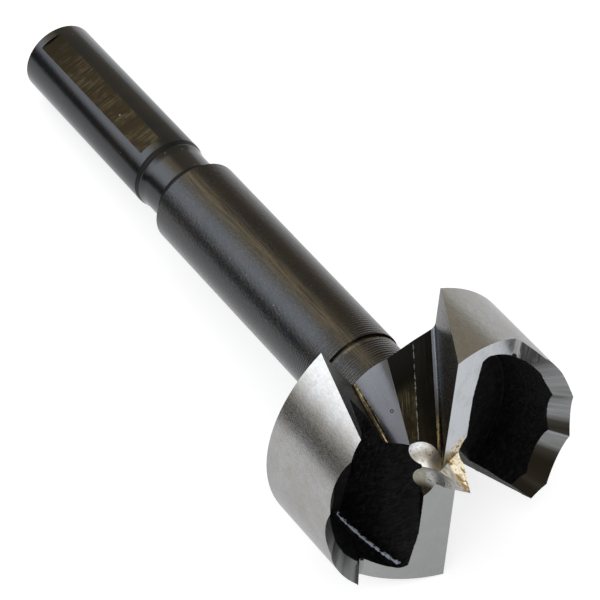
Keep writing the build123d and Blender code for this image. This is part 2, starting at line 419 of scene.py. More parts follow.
def store_places(mesh):
    """Keeps on each corner its upright place in millimetres, turned to the first wing."""
    count = len(mesh.vertices)
    points = np.empty(count * 3)
    mesh.vertices.foreach_get("co", points)
    points = to_upright(points.reshape(count, 3))
    loops = len(mesh.loops)
    owner = np.empty(loops, int)
    mesh.loops.foreach_get("vertex_index", owner)
    wings = np.empty(len(mesh.polygons), int)
    mesh.attributes["wing_side"].data.foreach_get("value", wings)
    totals = np.empty(len(mesh.polygons), int)
    mesh.polygons.foreach_get("loop_total", totals)
    sign = np.repeat(wings, totals).astype(float)
    places = points[owner] * np.stack([sign, sign, np.ones(loops)], axis=1)
    layer = mesh.attributes.new("place", "FLOAT_VECTOR", "CORNER")
    layer.data.foreach_set("vector", places.ravel())
    layer = mesh.attributes.new("wing", "FLOAT", "CORNER")
    layer.data.foreach_set("value", (sign < 0).astype(float))


def build_bit():
    """The bit's surface from its solid, with a region on every face and rough pockets."""
    mesh = frame["nodes"]["boring_bit"].data.copy()
    mesh.materials.clear()
    mesh.name = "bit_surface"
    bm = bmesh.new()
    bm.from_mesh(mesh)
    bmesh.ops.remove_doubles(bm, verts=bm.verts, dist=MERGE_DISTANCE)
    bmesh.ops.triangulate(bm, faces=bm.faces)
    bm.normal_update()
    mark_faces(bm)
    halve_long_edges(bm, INDEX["pocket"], POCKET_EDGE)
    roughen_pockets(bm)
    bm.normal_update()
    mark_sharp_edges(bm)
    bm.to_mesh(mesh)
    bm.free()
    store_places(mesh)
    piece = bpy.data.objects.new("bit_surface", mesh)
    bpy.context.scene.collection.objects.link(piece)
    return piece


# Shading: shift of the noise from one wing to the other, shares of a dot and a blob that are
# full, range of a grain that roughness follows, radians that the phase of the turned lines
# wanders by, and refraction of the oxide
WING_SHIFT = 7.3
DOT_CORE = 0.4
BLOB_CORE = 0.3
GRAIN_RANGE = (0.3, 0.7)
PHASE_WANDER = 6.0
OXIDE_IOR = 1.48


def grey(tone):
    return (tone, tone, tone)


class Finish:
    """A material and short ways to add nodes to it."""

    def __init__(self, name):
        self.material = bpy.data.materials.new(name)
        self.material.use_nodes = True
        self.tree = self.material.node_tree
        self.shader = self.tree.nodes["Principled BSDF"]
        self.place = self.node("ShaderNodeAttribute", attribute_name="place").outputs["Vector"]
        self.wing = self.node("ShaderNodeAttribute", attribute_name="wing").outputs["Fac"]
        parts = self.node("ShaderNodeSeparateXYZ", {0: self.place})
        self.x, self.y, self.z = parts.outputs
        self.normal = None

    def node(self, kind, inputs=None, **settings):
        made = self.tree.nodes.new(kind)
        for key, value in settings.items():
            setattr(made, key, value)
        for key, value in (inputs or {}).items():
            self.feed(made.inputs[key], value)
        return made

    def feed(self, socket, value):
        if isinstance(value, bpy.types.NodeSocket):
            self.tree.links.new(value, socket)
        elif socket.type == "RGBA" and len(value) == 3:
            socket.default_value = (*value, 1.0)
        else:
            socket.default_value = value

    def math(self, operation, a, b=0.0):
        return self.node("ShaderNodeMath", {0: a, 1: b}, operation=operation).outputs[0]

    def vector_math(self, operation, output, a, b=(0.0, 0.0, 0.0)):
        made = self.node("ShaderNodeVectorMath", {0: a, 1: b}, operation=operation)
        return made.outputs[output]

    def add(self, a, b):
        return self.math("ADD", a, b)

    def times(self, product, *others):
        """Product of one or more values."""
        for value in others:
            product = self.math("MULTIPLY", product, value)
        return product

    def off(self, value, middle):
        """How far a value is from a middle one, either way."""
        return self.math("ABSOLUTE", self.math("SUBTRACT", value, middle))

    def away_from(self, centre):
        """Distance from a place in millimetres."""
        return self.vector_math("DISTANCE", "Value", self.place, centre)

    def from_line(self, start, way):
        """Distance from a line in millimetres."""
        offset = self.vector_math("SUBTRACT", "Vector", self.place, start)
        cross = self.vector_math("CROSS_PRODUCT", "Vector", offset, Vector(way).normalized())
        return self.vector_math("LENGTH", "Value", cross)

    def axis_turned(self, way):
        """Place with its third axis along a way."""
        third = Vector(way).normalized()
        first = third.orthogonal().normalized()
        turn = Matrix((first, third.cross(first), third)).to_euler()
        made = self.node("ShaderNodeMapping", {"Vector": self.place})
        made.inputs["Rotation"].default_value = turn
        return made.outputs[0]

    def azimuth(self):
        return self.times(self.math("ARCTAN2", self.y, self.x), math.degrees(1.0))

    def radius(self):
        squares = self.add(self.times(self.x, self.x), self.times(self.y, self.y))
        return self.math("SQRT", squares)

    def round_place(self):
        """Azimuth in units of arc at the rim, radius and depth as one vector."""
        arc = self.times(self.azimuth(), math.radians(HEAD_RADIUS))
        return self.node("ShaderNodeCombineXYZ", {0: arc, 1: self.radius(), 2: self.z}).outputs[0]

    def noise(self, scale, vector=None, stretch=(1, 1, 1), detail=3.0, rough=0.55, warp=0.0):
        scaled = self.node("ShaderNodeMapping", {"Vector": vector or self.place})
        scaled.inputs["Scale"].default_value = stretch
        made = self.node("ShaderNodeTexNoise", noise_dimensions="4D")
        self.feed(made.inputs["Vector"], scaled.outputs[0])
        self.feed(made.inputs["W"], self.times(self.wing, WING_SHIFT))
        made.inputs["Scale"].default_value = scale
        made.inputs["Detail"].default_value = detail
        made.inputs["Roughness"].default_value = rough
        made.inputs["Distortion"].default_value = warp
        return made.outputs[0]

    def step(self, value, low, high, out=(0.0, 1.0)):
        """Smooth step from one value to another, which may be the lower one."""
        if low > high:
            low, high, out = high, low, (out[1], out[0])
        made = self.node("ShaderNodeMapRange", {"Value": value}, interpolation_type="SMOOTHSTEP")
        made.inputs["From Min"].default_value = low
        made.inputs["From Max"].default_value = high
        made.inputs["To Min"].default_value = out[0]
        made.inputs["To Max"].default_value = out[1]
        return made.outputs[0]

    def by_grain(self, grain, low, high):
        """Roughness that goes from one level to another with a grain."""
        return self.step(grain, *GRAIN_RANGE, (low, high))

    def blob(self, centre, size):
        """One within a soft ball round a place, nought outside it."""
        return self.step(self.away_from(centre), size, size * BLOB_CORE)

    def dots(self, scale, size, share):
        """Small round spots: one where a cell is chosen and the point is near its middle."""
        cells = self.node("ShaderNodeTexVoronoi", {"Vector": self.place})
        cells.inputs["Scale"].default_value = scale
        near = self.step(cells.outputs["Distance"], size * scale, size * scale * DOT_CORE)
        tint = self.node("ShaderNodeSeparateColor", {0: cells.outputs["Color"]}).outputs[0]
        return self.times(near, self.math("LESS_THAN", tint, share))

    def ramp(self, value, stops):
        """Colour that follows a value through (value, colour) stops in rising order."""
        low, high = stops[0][0], stops[-1][0]
        share = self.node("ShaderNodeMapRange", {"Value": value})
        share.inputs["From Min"].default_value = low
        share.inputs["From Max"].default_value = high
        made = self.node("ShaderNodeValToRGB", {0: share.outputs[0]})
        marks = made.color_ramp.elements
        marks.remove(marks[1])
        marks[0].color = (*stops[0][1], 1.0)
        for place, color in stops[1:]:
            marks.new((place - low) / (high - low)).color = (*color, 1.0)
        return made.outputs[0]

    def mix(self, share, a, b):
        made = self.node("ShaderNodeMix", data_type="RGBA")
        self.feed(made.inputs[0], share)
        self.feed(made.inputs[6], a)
        self.feed(made.inputs[7], b)
        return made.outputs[2]

    def cover(self, color, paint, *shares):
        """A colour with another over it, as much as the product of some shares says."""
        return self.mix(self.times(*shares), color, paint)

    def bump(self, height, depth):
        """Adds a layer of relief, its depth in millimetres."""
        made = self.node("ShaderNodeBump", {"Height": height})
        made.inputs["Distance"].default_value = depth * MM
        made.inputs["Strength"].default_value = 1.0
        if self.normal:
            self.feed(made.inputs["Normal"], self.normal)
        self.normal = made.outputs[0]

    def done(self, color, rough, metallic=0.0, ior=1.5):
        self.feed(self.shader.inputs["Base Color"], color)
        self.feed(self.shader.inputs["Roughness"], rough)
        self.shader.inputs["Metallic"].default_value = metallic
        self.shader.inputs["IOR"].default_value = ior
        if self.normal:
            self.feed(self.shader.inputs["Normal"], self.normal)
        return self.material


# Colours of the blackened stem
BLUE_BLACK = (0.003, 0.003, 0.004)
BROWN_BLACK = (0.009, 0.007, 0.005)
RUST_BROWN = (0.020, 0.010, 0.007)
SCRATCH_TAN = (0.12, 0.10, 0.07)
SPECK_CREAM = (0.28, 0.25, 0.20)
# Gold of the streak along the body: a painted highlight of a warm lamp
PAINTED_GOLD_HIGHLIGHT = (0.088, 0.068, 0.034)
FRECKLE_GREY = (0.034, 0.032, 0.030)
# Lighter brown on the crests of the real turned lines: a painted highlight
TOOLED_HIGHLIGHT_BROWN = (0.060, 0.050, 0.032)
# Gold ring at the collar's lip: a painted highlight
LIP_HIGHLIGHT_GOLD = (0.17, 0.13, 0.065)
SIDE_BROWN = (0.014, 0.009, 0.005)
OXIDE_TINT = (0.88, 0.93, 1.0, 1.0)


def turned_lines(f):
    """Wave of the turned lines, a little uneven in its pitch."""
    wander = f.noise(1.2, stretch=(0.02, 0.02, 1.0), detail=3.0)
    phase = f.add(f.times(f.z, math.tau / TURNING_PITCH), f.times(wander, PHASE_WANDER))
    return f.math("SINE", phase)


def oxide_stem():
    """Satin black oxide with turned lines near the head, a rusty patch, specks, scratches and painted
    highlights.
    """
    f = Finish("black_oxide")
    turned = turned_lines(f)
    grain = f.noise(3.0, detail=4.0, rough=0.6)
    cloud = f.noise(0.16, detail=2.0)
    on_body = f.step(f.z, *BODY_FADE)
    rust_place = heading(RUST_AZIMUTH) * BODY_RADIUS + Vector((0, 0, RUST_Z))
    scratch = f.noise(5.0, vector=f.axis_turned((0.25, 0.15, 1.0)), stretch=(1.0, 1.0, 0.03), detail=2.0)
    streaks = f.noise(5.0, stretch=(1.0, 1.0, 0.04), detail=4.0, rough=0.7)
    gold_highlight = f.times(f.step(f.off(f.azimuth(), GOLD_HIGHLIGHT_AZIMUTH), *GOLD_HIGHLIGHT_FADE), f.step(streaks, 0.34, 0.66))
    freckles = f.noise(3.4, detail=5.0, rough=0.8)
    tooled_highlight = f.times(f.step(turned, 0.1, 0.9), f.step(f.z, *TOOLED_FADE))
    patchy = f.step(f.noise(0.6, detail=4.0, rough=0.7), 0.38, 0.60, (0.15, 1.0))
    lip = f.step(f.off(f.z, LIP_Z), *LIP_FADE)
    brown_side = f.times(f.step(f.azimuth(), *BROWN_START), f.step(f.azimuth(), *BROWN_STOP), on_body)

    color = f.mix(f.step(cloud, 0.4, 0.65), BLUE_BLACK, BROWN_BLACK)
    color = f.cover(color, RUST_BROWN, f.blob(rust_place, RUST_SIZE), 0.7)
    color = f.cover(color, SCRATCH_TAN, f.step(scratch, 0.73, 0.78))
    color = f.cover(color, SPECK_CREAM, f.dots(1.1, size=0.08, share=0.15))
    # Painted highlight: gold streaks along one azimuth of the body
    color = f.cover(color, PAINTED_GOLD_HIGHLIGHT, gold_highlight, on_body)
    color = f.cover(color, FRECKLE_GREY, f.step(freckles, 0.50, 0.64), on_body)
    # Painted highlight on the crests of the turned lines near the head
    color = f.cover(color, TOOLED_HIGHLIGHT_BROWN, tooled_highlight, patchy)
    # Painted highlight: a gold ring at the collar's lip
    color = f.cover(color, LIP_HIGHLIGHT_GOLD, lip, patchy)
    color = f.cover(color, SIDE_BROWN, brown_side, f.step(cloud, 0.35, 0.6, (0.5, 1.0)))

    ring = f.step(f.off(f.z, RING_Z), *RING_FADE)
    foot = f.step(f.off(f.z, SHOULDER_Z), *SHOULDER_FADE)
    groove = f.math("MAXIMUM", ring, foot)
    body_rougher = f.times(on_body, 0.02)
    groove_rougher = f.times(groove, 0.3)
    rough = f.add(f.add(f.by_grain(grain, 0.17, 0.22), body_rougher), groove_rougher)
    coarser_on_body = f.step(on_body, 0.0, 1.0, (0.25, 1.0))
    f.bump(f.times(turned, f.step(f.z, *LINES_FADE)), depth=0.018)
    f.bump(f.times(grain, coarser_on_body), depth=0.045)
    f.bump(groove, depth=-0.15)
    dull = f.math("MAXIMUM", groove, f.times(brown_side, 0.75))
    f.feed(f.shader.inputs["Specular IOR Level"], f.step(dull, 0.0, 1.0, (0.5, 0.2)))
    f.shader.inputs["Specular Tint"].default_value = OXIDE_TINT
    return f.done(color, rough, ior=OXIDE_IOR)


# Colours of the flat
FLAT_DARK = (0.020, 0.017, 0.011)
FLAT_BRONZE = (0.056, 0.049, 0.034)
FLAT_CLOUD = (0.022, 0.018, 0.012)
FLAT_BORDER = (0.012, 0.011, 0.010)
FLAT_BACK = (0.016, 0.014, 0.010)
FLAT_SPECK = (0.55, 0.47, 0.44)


def milled_flat():
    """Bronze-tinted flat with short fine lines across the shank and darker, uneven borders."""
    f = Finish("milled_flat")
    lines = f.noise(3.6, stretch=(0.07, 0.07, 1.0), detail=4.0, rough=0.7)
    cloud = f.noise(0.55, detail=3.0, rough=0.6)
    side = f.vector_math("DOT_PRODUCT", "Value", f.place, heading(FLAT_AZIMUTH + 90.0))
    width = f.add(f.math("ABSOLUTE", side), f.step(cloud, 0.35, 0.65, (-0.5, 0.5)))
    color = f.mix(f.step(lines, 0.38, 0.66), FLAT_DARK, FLAT_BRONZE)
    color = f.cover(color, FLAT_CLOUD, f.step(cloud, 0.40, 0.56), 0.85)
    color = f.cover(color, FLAT_BORDER, f.step(width, *FLAT_BORDER_FADE))
    color = f.cover(color, FLAT_BACK, f.step(f.z, *FLAT_END_FADE, (0.0, 0.8)))
    color = f.cover(color, FLAT_SPECK, f.dots(1.2, size=0.10, share=0.05))
    f.bump(lines, depth=0.012)
    return f.done(color, f.by_grain(lines, 0.40, 0.28), metallic=1.0)


# Colours of the rim
RIM_GREY = (0.352, 0.352, 0.357)
RIM_SMUDGE = (0.318, 0.309, 0.290)
RIM_GRAIN = (0.28, 0.275, 0.265)
RIM_MOTTLE = (0.27, 0.262, 0.245)
RIM_TINT = (0.72, 0.72, 0.72, 1.0)


def satin_rim():
    """Satin steel of the outer rim, with fine grain and soft brownish smudges."""
    f = Finish("satin_rim")
    grain = f.noise(3.2, stretch=(1.0, 1.0, 0.55), detail=4.0, rough=0.65)
    cloud = f.noise(0.20, detail=3.0, warp=0.4)
    mottle = f.noise(1.3, stretch=(1.0, 1.0, 0.7), detail=5.0, rough=0.75)
    color = f.mix(f.step(cloud, 0.35, 0.70), RIM_GREY, RIM_SMUDGE)
    color = f.cover(color, RIM_GRAIN, f.step(grain, 0.35, 0.75), 0.25)
    color = f.cover(color, RIM_MOTTLE, f.step(mottle, 0.45, 0.62, (0.0, 0.45)))
    f.bump(grain, depth=0.006)
    f.bump(mottle, depth=0.012)
    f.shader.inputs["Specular Tint"].default_value = RIM_TINT
    return f.done(color, f.by_grain(grain, 0.21, 0.29), metallic=1.0)


# Colours of the two lands, and of the stain on the first
LAND_BLUE = (0.43, 0.45, 0.475)
# The second land is a darker copy of the first: painted shade
SHADED_OTHER_LAND = (0.27, 0.275, 0.275)
LAND_CLOUD = grey(0.30)
TARNISH_GOLD = (0.66, 0.54, 0.32)
TARNISH_BROWN = (0.15, 0.10, 0.045)
LAND_PIT = (0.03, 0.025, 0.02)


def ground_land():
    """Ground steel, bluish on one land and darker on the other as painted shade, with fine lines along
    the lip, a stain and a few pits.
    """
    f = Finish("ground_land")
    lines = f.noise(3.0, stretch=(0.12, 1.0, 1.0), detail=4.0, rough=0.65)
    cloud = f.noise(0.4, detail=2.0)
    uneven = f.step(f.noise(1.1, detail=4.0), 0.35, 0.6, (0.3, 1.0))
    on_first = f.math("SUBTRACT", 1.0, f.wing)
    mottle = f.step(f.noise(2.2, detail=5.0, rough=0.75), 0.46, 0.58)
    # Painted shade: the second wing's land is darker
    color = f.mix(f.wing, LAND_BLUE, SHADED_OTHER_LAND)
    color = f.cover(color, LAND_CLOUD, f.step(cloud, 0.45, 0.75), 0.5)
    tarnish = f.mix(mottle, TARNISH_GOLD, TARNISH_BROWN)
    color = f.cover(color, tarnish, f.blob(STAIN_PLACE, STAIN_SIZE), uneven, on_first)
    color = f.cover(color, LAND_PIT, f.dots(1.1, size=0.09, share=0.12))
    f.bump(lines, depth=0.004)
    return f.done(color, f.by_grain(lines, 0.24, 0.33), metallic=1.0)


# Colours of the bevel's waves, by azimuth from the tooth to the rim's end
LIGHT_BEVEL = (0.235, 0.24, 0.245)
MIDDLE_BEVEL = (0.185, 0.19, 0.19)
BROWN_BEVEL = (0.040, 0.036, 0.030)
DARK_BEVEL = (0.026, 0.024, 0.019)
BEVEL_TONES = (
    (42.0, MIDDLE_BEVEL), (56.0, MIDDLE_BEVEL),
    (57.0, LIGHT_BEVEL), (67.0, LIGHT_BEVEL), (71.5, MIDDLE_BEVEL), (72.5, MIDDLE_BEVEL),
    (83.0, LIGHT_BEVEL), (87.0, MIDDLE_BEVEL), (90.0, BROWN_BEVEL), (95.0, DARK_BEVEL),
    (95.6, LIGHT_BEVEL), (102.5, MIDDLE_BEVEL), (106.0, BROWN_BEVEL), (111.0, DARK_BEVEL),
    (119.0, BROWN_BEVEL), (119.8, BROWN_BEVEL), (125.0, DARK_BEVEL), (134.0, BROWN_BEVEL),
)


def ground_bevel():
    """Wheel-ground steel of the bevel, with waves from light grey to dark brown."""
    f = Finish("ground_bevel")
    lines = f.noise(2.4, vector=f.round_place(), stretch=(1.0, 0.04, 0.04), detail=5.0, rough=0.7)
    color = f.ramp(f.azimuth(), BEVEL_TONES)
    color = f.cover(color, DARK_BEVEL, f.step(lines, 0.42, 0.7), 0.4)
    f.bump(lines, depth=0.006)
    return f.done(color, f.by_grain(lines, 0.24, 0.34), metallic=1.0)


def ground_flank(name, light, dark):
    """Ground steel of the gullet or the tooth's flank, with stripes."""
    f = Finish(name)
    lines = f.noise(3.2, stretch=(0.1, 1.0, 1.0), detail=4.0, rough=0.7)
    color = f.mix(f.step(lines, 0.35, 0.65), light, dark)
    f.bump(lines, depth=0.006)
    return f.done(color, f.by_grain(lines, 0.24, 0.36), metallic=1.0)


# Colours of the forged skin, and of bright bare steel, used for chips and for painted glints
SKIN_BLACK = (0.0008, 0.0008, 0.0010)
SKIN_GREY = (0.010, 0.0105, 0.012)
GLINT_BLUE = (0.12, 0.13, 0.16)
CHIPS_AND_GLINT_STEEL = (0.34, 0.37, 0.43)


def forged_pocket():
    """Rough black forged skin with short grain, rare glints, and under one rim a crease of chipped steel
    with a painted glint along it.
    """
    f = Finish("forged_pocket")
    fur_place = f.axis_turned((0.55, 0.75, 0.35))
    fur = f.noise(2.6, vector=fur_place, stretch=(1.0, 1.0, 0.22), detail=5.0, rough=0.7)
    pits = f.noise(4.5, detail=3.0, rough=0.6)
    wall = f.add(f.radius(), f.times(f.z, POCKET_DRAFT))
    from_wall = f.off(wall, POCKET_RADIUS + POCKET_DRAFT * POCKET_RADIUS_Z)
    rise = f.add(f.times(f.y, POCKET_SLOPE), f.times(f.x, POCKET_DRIFT))
    from_floor = f.off(f.math("SUBTRACT", f.z, POCKET_FRONT_Z), rise)
    waver = f.step(f.noise(1.7, detail=4.0, rough=0.7), 0.40, 0.60, (-0.10, 0.24))
    from_crease = f.add(f.add(from_wall, from_floor), waver)
    color = f.mix(f.step(fur, 0.4, 0.75), SKIN_BLACK, SKIN_GREY)
    color = f.cover(color, GLINT_BLUE, f.step(pits, 0.66, 0.74), f.step(f.noise(0.5), 0.46, 0.60))
    # Painted glint along the crease under one wing's rim, over chipped bare steel
    color = f.cover(color, CHIPS_AND_GLINT_STEEL, f.step(from_crease, *CREASE_FADE), f.wing)
    f.bump(fur, depth=0.12)
    f.bump(pits, depth=0.05)
    f.shader.inputs["Specular IOR Level"].default_value = 0.06
    return f.done(color, f.by_grain(fur, 0.5, 0.36))


# Colours of marks on the faces of a chip gap
# Bright line along the ridge: partly rubbed bare steel, partly a painted highlight
RIDGE_WEAR_AND_GLINT = (0.14, 0.135, 0.12)
PIT_BLACK = grey(0.02)


def streaked(name, way, tones, streak_color, amount, rough, depth=0.006, metallic=1.0, specular=0.5,
             fine=2.2, patch=0.6, top=HEAD_BACK, edge=None, pit=None, glint_flecks=0.0):
    """Face whose colour changes with depth, with streaks of another colour along a way.

    Streaks fade out above the top. An edge is a line of rubbed bare steel with a painted highlight,
    a pit is the middle of a dark ring, and the last argument is how strong the flecks of painted glint
    are.
    """
    f = Finish(name)
    streak = f.noise(fine, vector=f.axis_turned(way), stretch=(1.0, 1.0, 0.05), detail=5.0, rough=0.7)
    cloud = f.noise(patch, detail=3.0)
    grain = f.noise(3.0, detail=4.0, rough=0.7)
    shown = f.step(streak, 0.42, 0.66, (0.0, amount))
    below_top = f.step(f.z, top + STREAK_FADE, top - STREAK_FADE)
    color = f.cover(f.ramp(f.z, tones), streak_color, shown, f.step(cloud, 0.3, 0.6), below_top)
    if edge:
        # Painted highlight along the ridge, over rubbed bare steel
        waver = f.step(f.noise(1.4, detail=5.0, rough=0.7), 0.40, 0.60, (-0.02, 0.09))
        color = f.cover(color, RIDGE_WEAR_AND_GLINT, f.step(f.add(f.from_line(*edge), waver), *RIDGE_FADE))
    # Painted glints: small bright flecks of bare steel
    if glint_flecks:
        glint_fleck = f.step(f.noise(2.4, detail=5.0, rough=0.7), 0.60, 0.68)
        color = f.cover(color, CHIPS_AND_GLINT_STEEL, glint_fleck, f.step(f.noise(0.4), 0.48, 0.56), glint_flecks)
    if pit:
        color = f.cover(color, PIT_BLACK, f.step(f.off(f.away_from(pit), PIT_RADIUS), *PIT_FADE))
    f.bump(streak, depth)
    f.bump(grain, depth * 0.5)
    f.shader.inputs["Specular IOR Level"].default_value = specular
    return f.done(color, f.by_grain(grain, *rough), metallic=metallic, ior=OXIDE_IOR)


def back_face():
    black = grey(0.006)
    return streaked(
        "head_back", way=(1, 0, 0), tones=((0.0, black), (HEAD_BACK, black)),
        streak_color=grey(0.03), amount=0.6, rough=(0.3, 0.22), metallic=0.0,
    )


def rake_face():
    tones = (
        (5.0, (0.010, 0.009, 0.007)), (10.0, grey(0.012)),
        (12.5, grey(0.022)), (HEAD_BACK, grey(0.036)),
    )
    return streaked(
        "rake", way=rake_run, tones=tones, streak_color=(0.035, 0.030, 0.022), amount=0.5,
        rough=(0.32, 0.24), depth=0.004, metallic=0.0, specular=0.4,
    )


def root_fillet():
    tones = (
        (4.5, (0.022, 0.018, 0.012)), (9.0, (0.035, 0.030, 0.024)),
        (12.0, (0.085, 0.092, 0.106)), (HEAD_BACK, (0.125, 0.134, 0.156)),
    )
    return streaked(
        "root", way=rake_run, tones=tones, streak_color=(0.36, 0.27, 0.12), amount=0.8,
        rough=(0.36, 0.24), depth=0.03, fine=5.0, patch=2.0, top=8.5,
    )


def near_floor_face():
    tones = (
        (7.0, (0.010, 0.0085, 0.006)), (12.0, (0.008, 0.0075, 0.006)), (HEAD_BACK, grey(0.010)),
    )
    return streaked(
        "near_floor", way=rake_run, tones=tones, streak_color=(0.020, 0.016, 0.010), amount=0.8,
        rough=(0.34, 0.24), depth=0.004, edge=(ridge, rake_run),
    )


def far_floor_face():
    tones = (
        (8.0, (0.012, 0.009, 0.005)), (11.0, (0.016, 0.013, 0.008)), (12.8, (0.010, 0.009, 0.006)),
        (13.8, (0.005, 0.005, 0.004)), (HEAD_BACK, grey(0.009)),
    )
    # Its gold streaks are grinding streaks with a painted highlight of a warm lamp in them
    return streaked(
        "far_floor", way=rake_run, tones=tones, streak_color=(0.115, 0.098, 0.056), amount=0.6,
        rough=(0.40, 0.28), depth=0.012, fine=5.0, top=12.6, edge=(ridge, rake_run),
    )


def round_floor_face():
    tones = (
        (8.5, (0.11, 0.114, 0.133)), (12.0, (0.135, 0.143, 0.170)), (HEAD_BACK, (0.175, 0.186, 0.222)),
    )
    # Its blue-grey tones are a painted reflection of the window
    return streaked(
        "round_floor", way=tail_run, tones=tones, streak_color=(0.09, 0.094, 0.11), amount=0.35,
        rough=(0.26, 0.2), depth=0.0015, fine=5.0, pit=PIT_PLACE,
    )


def corner_fillet():
    tones = ((7.0, (0.03, 0.025, 0.015)), (HEAD_BACK, (0.05, 0.045, 0.035)))
    # Its gold streaks are the fillet's grinding streaks with a painted highlight in them
    return streaked(
        "corner", way=tail_run, tones=tones, streak_color=(0.70, 0.58, 0.34), amount=1.0,
        rough=(0.36, 0.24), depth=0.04, fine=4.0, patch=2.6,
    )


def tail_face():
    tones = (
        (8.0, (0.006, 0.006, 0.005)), (12.5, (0.010, 0.0095, 0.008)),
        (14.0, grey(0.018)), (HEAD_BACK, grey(0.035)),
    )
    # Painted glints in flecks on the black tail
    return streaked(
        "tail", way=tail_run, tones=tones, streak_color=(0.02, 0.02, 0.018), amount=0.5,
        rough=(0.4, 0.3), metallic=0.0, specular=0.15, glint_flecks=0.8,
    )


# Colours of marks in the hollows
HOLLOW_SPECK = (0.02, 0.015, 0.010)
HOLLOW_BRUSHED = (0.16, 0.14, 0.11)


def hollow(f, tones, shade, dark):
    """Brushed bare steel of a hollow with a painted reflection across it, darker where its shade is
    full.
    """
    brushed = f.noise(3.5, stretch=(1.0, 1.0, 0.15), detail=5.0, rough=0.7)
    color = f.cover(f.ramp(f.y, tones), dark, shade)
    color = f.cover(color, HOLLOW_SPECK, f.dots(2.2, size=0.12, share=0.20))
    color = f.cover(color, HOLLOW_BRUSHED, f.step(brushed, 0.45, 0.65), 0.42)
    f.bump(brushed, depth=0.016)
    return f.done(color, f.by_grain(brushed, 0.34, 0.46), metallic=1.0)


def upper_hollow():
    """Bright hollow that darkens to gold towards the front."""
    f = Finish("upper_hollow")
    # These tones across the hollow are a painted reflection
    tones = (
        (-3.6, (0.86, 0.90, 0.96)), (-2.2, (0.90, 0.92, 0.95)),
        (-1.75, (0.70, 0.68, 0.65)), (-1.4, (0.62, 0.58, 0.54)),
    )
    return hollow(f, tones, shade=f.step(f.z, 5.6, 4.9), dark=(0.50, 0.40, 0.24))


def lower_hollow():
    """Hollow that brightens towards the point and darkens towards its outer end."""
    f = Finish("lower_hollow")
    # These tones across the hollow are a painted reflection, brightest towards the point
    tones = (
        (-3.0, (0.27, 0.26, 0.22)), (-2.1, (0.31, 0.30, 0.26)),
        (-1.7, grey(0.50)), (-1.2, (0.85, 0.86, 0.87)),
    )
    return hollow(f, tones, shade=f.step(f.x, -1.9, -2.9), dark=(0.030, 0.028, 0.020))


# Colours of the centre point
POINT_GOLD = (0.97, 0.90, 0.72)
POINT_AMBER = (0.34, 0.21, 0.07)
POINT_CRACK = (0.07, 0.045, 0.02)
POINT_GREY = (0.50, 0.49, 0.46)
POINT_BRUSHED = (0.26, 0.24, 0.21)
TIP_BROWN = (0.16, 0.12, 0.08)
POINT_SPECK = (0.04, 0.025, 0.015)


def centre_point():
    """Bare steel of the point: a golden bright side with amber streaks and a grey side."""
    f = Finish("centre_point")
    brushed = f.noise(4.0, stretch=(1.0, 1.0, 0.15), detail=5.0, rough=0.7)
    patch = f.noise(1.5, stretch=(1.0, 1.0, 0.4), detail=4.0, rough=0.65, warp=0.6)
    cracks = f.step(f.noise(2.8, detail=5.0, rough=0.7, warp=1.2), 0.54, 0.60)
    gold = f.mix(f.step(patch, 0.47, 0.58), POINT_GOLD, POINT_AMBER)
    gold = f.cover(gold, POINT_CRACK, cracks, f.step(patch, 0.40, 0.52))
    steel = f.mix(f.step(brushed, 0.40, 0.66), POINT_GREY, POINT_BRUSHED)
    color = f.cover(steel, gold, f.step(f.y, *GOLD_FADE))
    color = f.cover(color, TIP_BROWN, f.step(f.z, *TIP_FADE, (0.0, 0.7)))
    color = f.cover(color, POINT_SPECK, f.dots(1.6, size=0.09, share=0.08))
    f.bump(brushed, depth=0.010)
    f.bump(patch, depth=0.03)
    return f.done(color, f.by_grain(brushed, 0.24, 0.38), metallic=1.0)


def finishes():
    """The material of each region."""
    return {
        "stem": oxide_stem(),
        "flat": milled_flat(),
        "rim": satin_rim(),
        "head_back": back_face(),
        "land": ground_land(),
        "gullet": ground_flank("gullet", light=grey(0.30), dark=grey(0.20)),
        "flank": ground_flank("tooth_flank", light=grey(0.085), dark=grey(0.04)),
        "bevel": ground_bevel(),
        "pocket": forged_pocket(),
        "rake": rake_face(),
        "root": root_fillet(),
        "near_floor": near_floor_face(),
        "far_floor": far_floor_face(),
        "round_floor": round_floor_face(),
        "corner": corner_fillet(),
        "tail": tail_face(),
        "point": centre_point(),
        "hollow_high": upper_hollow(),
        "hollow_low": lower_hollow(),
    }


# Studio in metres: the floor's share of light that it returns and its own glow, the level of
# the world round it, and a room that the steel reflects
FLOOR_SIZE = 6.0
FLOOR_ALBEDO = 0.5
FLOOR_ROUGHNESS = 0.9
FLOOR_GLOW = 0.66
WORLD_LEVEL = 0.75
ROOM_RADIUS = 1.6
ROOM_COLOR = (0.46, 0.41, 0.32)
WHITE = (1.0, 1.0, 1.0, 1.0)
STUDIO = bpy.data.collections.new("studio")
bpy.context.scene.collection.children.link(STUDIO)


def tree_math(tree, operation, socket, other):
    """Result of an operation on a socket and another socket or a number."""
    made = tree.nodes.new("ShaderNodeMath")
    made.operation = operation
    tree.links.new(socket, made.inputs[0])
    if isinstance(other, bpy.types.NodeSocket):
        tree.links.new(other, made.inputs[1])
    else:
        made.inputs[1].default_value = other
    return made.outputs[0]


def emission_material(name, color, strength):
    """An even glow, which the renderer does not sample as a lamp."""
    material = bpy.data.materials.new(name)
    material.use_nodes = True
    nodes = material.node_tree.nodes
    nodes.remove(nodes["Principled BSDF"])
    glow = nodes.new("ShaderNodeEmission")
    glow.inputs["Color"].default_value = (*color, 1.0)
    glow.inputs["Strength"].default_value = strength
    material.node_tree.links.new(glow.outputs[0], nodes["Material Output"].inputs["Surface"])
    material.cycles.emission_sampling = "NONE"
    return material


